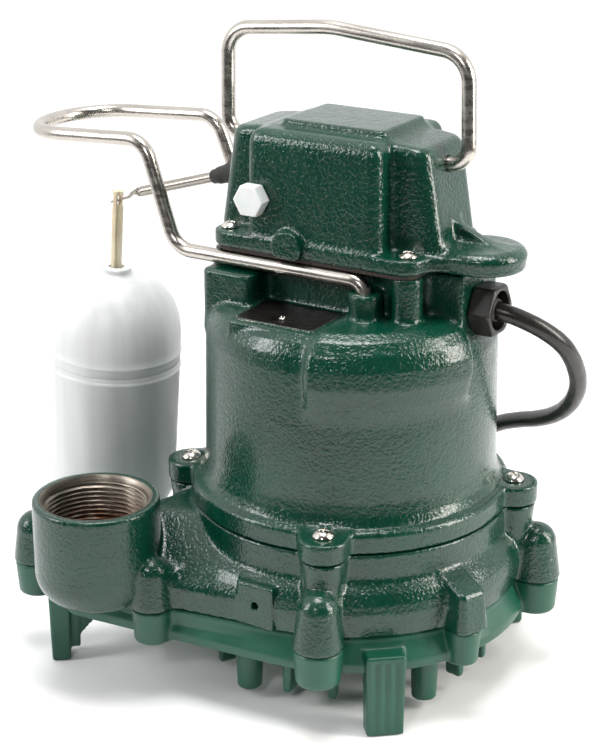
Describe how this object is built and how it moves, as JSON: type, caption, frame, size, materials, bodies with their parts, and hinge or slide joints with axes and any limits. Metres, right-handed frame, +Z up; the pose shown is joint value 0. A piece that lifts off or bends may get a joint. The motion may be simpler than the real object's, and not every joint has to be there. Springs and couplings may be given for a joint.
{
  "type": "submersible sump pump",
  "caption": "Submersible sump pump: cast volute with threaded side outlet on a legged base, round motor housing, switch case, wire handle, and a float on a swinging arm inside a wire guard.",
  "frame": {"origin": "on the motor axis, at the floor that the legs stand on", "axes": "+Z up along the motor shaft; +X towards the cord gland; the float hangs on the -X side; the pipe outlet is at -X, -Y"},
  "size_m": [0.3009, 0.3527, 0.2957],
  "materials": {
    "green_iron": "glossy enamel over sand-cast iron, orange-peel texture",
    "green_plastic": "satin moulded thermoplastic",
    "gasket": "matt",
    "stainless": "polished",
    "stainless_wire": "drawn, bright",
    "arm_steel": "drawn, satin",
    "black_rubber": "satin",
    "etched_plate": "dark etched face, bare edge",
    "white_nylon": "semi-gloss",
    "black_nylon": "satin",
    "cord_jacket": "satin",
    "brass": "bright",
    "lamination_steel": "stacked laminations",
    "copper": "varnished wire",
    "wire_insulation": "smooth",
    "aluminium": "die cast",
    "ground_steel": "ground",
    "bronze": "sintered",
    "ceramic": "lapped",
    "carbon": "lapped",
    "impeller_plastic": "glass-filled",
    "rod_plastic": "semi-gloss",
    "float_plastic": "translucent white, semi-gloss"
  },
  "bodies": {
    "pump_body": {"motor_housing": "green_iron", "volute_housing": "green_iron", "base_plate": "green_plastic", "switch_case": "green_iron", "case_gasket": "gasket", "case_screws": "stainless", "housing_seal": "black_rubber", "housing_screws": "stainless", "base_screws": "stainless", "float_guard": "stainless_wire", "nameplate": "etched_plate", "nameplate_rivet": "stainless", "case_plug": "white_nylon", "gland_nut": "black_nylon", "cord_grommet": "black_rubber", "power_cord": "cord_jacket", "cord_coil": "cord_jacket", "cord_tie": "black_nylon", "cord_tail": "cord_jacket", "plug_body": "black_rubber", "plug_blades": "brass", "stator_core": "lamination_steel", "stator_windings": "copper", "overload_protector": "black_nylon", "lead_wires": "wire_insulation", "upper_bearing": "bronze", "lower_bearing": "bronze", "thrust_washer": "bronze", "seal_seat": "ceramic", "switch_body": "black_nylon", "switch_bracket": "ground_steel", "switch_screws": "stainless", "arm_bracket": "ground_steel", "arm_pivot_pin": "stainless"},
    "rotor": {"rotor_core": "lamination_steel", "rotor_end_rings": "aluminium", "motor_shaft": "ground_steel", "seal_head": "carbon", "seal_spring": "stainless", "impeller": "impeller_plastic"},
    "handle": {"handle": "stainless_wire"},
    "float_arm": {"float_arm": "arm_steel", "arm_boot": "black_rubber"},
    "float": {"float_rod": "rod_plastic", "float_upper_shell": "float_plastic", "float_lower_shell": "float_plastic"},
    "switch_slide": {"switch_slide": "rod_plastic"}
  },
  "joints": [
    {"name": "motor_spin", "type": "hinge", "parent": "pump_body", "child": "rotor", "pos_m": [0, 0, 0.125], "axis": [0, 0, 1], "continuous": true},
    {"name": "handle_swing", "type": "hinge", "parent": "pump_body", "child": "handle", "pos_m": [0, 0, 0.2405], "axis": [1, 0, 0], "range_deg": [-105, 105]},
    {"name": "arm_swing", "type": "hinge", "parent": "pump_body", "child": "float_arm", "pos_m": [-0.046, 0, 0.2273], "axis": [0, 1, 0], "range_deg": [0, 30]},
    {"name": "float_swing", "type": "hinge", "parent": "float_arm", "child": "float", "pos_m": [-0.1284, 0, 0.2002], "axis": [0, 1, 0], "range_deg": [-30, 0]},
    {"name": "switch_travel", "type": "slide", "parent": "pump_body", "child": "switch_slide", "axis": [0, 0, -1], "range_m": [0, 0.00838]}
  ],
  "couplings": [
    {"joint": "float_swing", "follows": "arm_swing", "ratio": -1},
    {"joint": "switch_travel", "follows": "arm_swing", "m_per_rad": 0.01581}
  ]
}
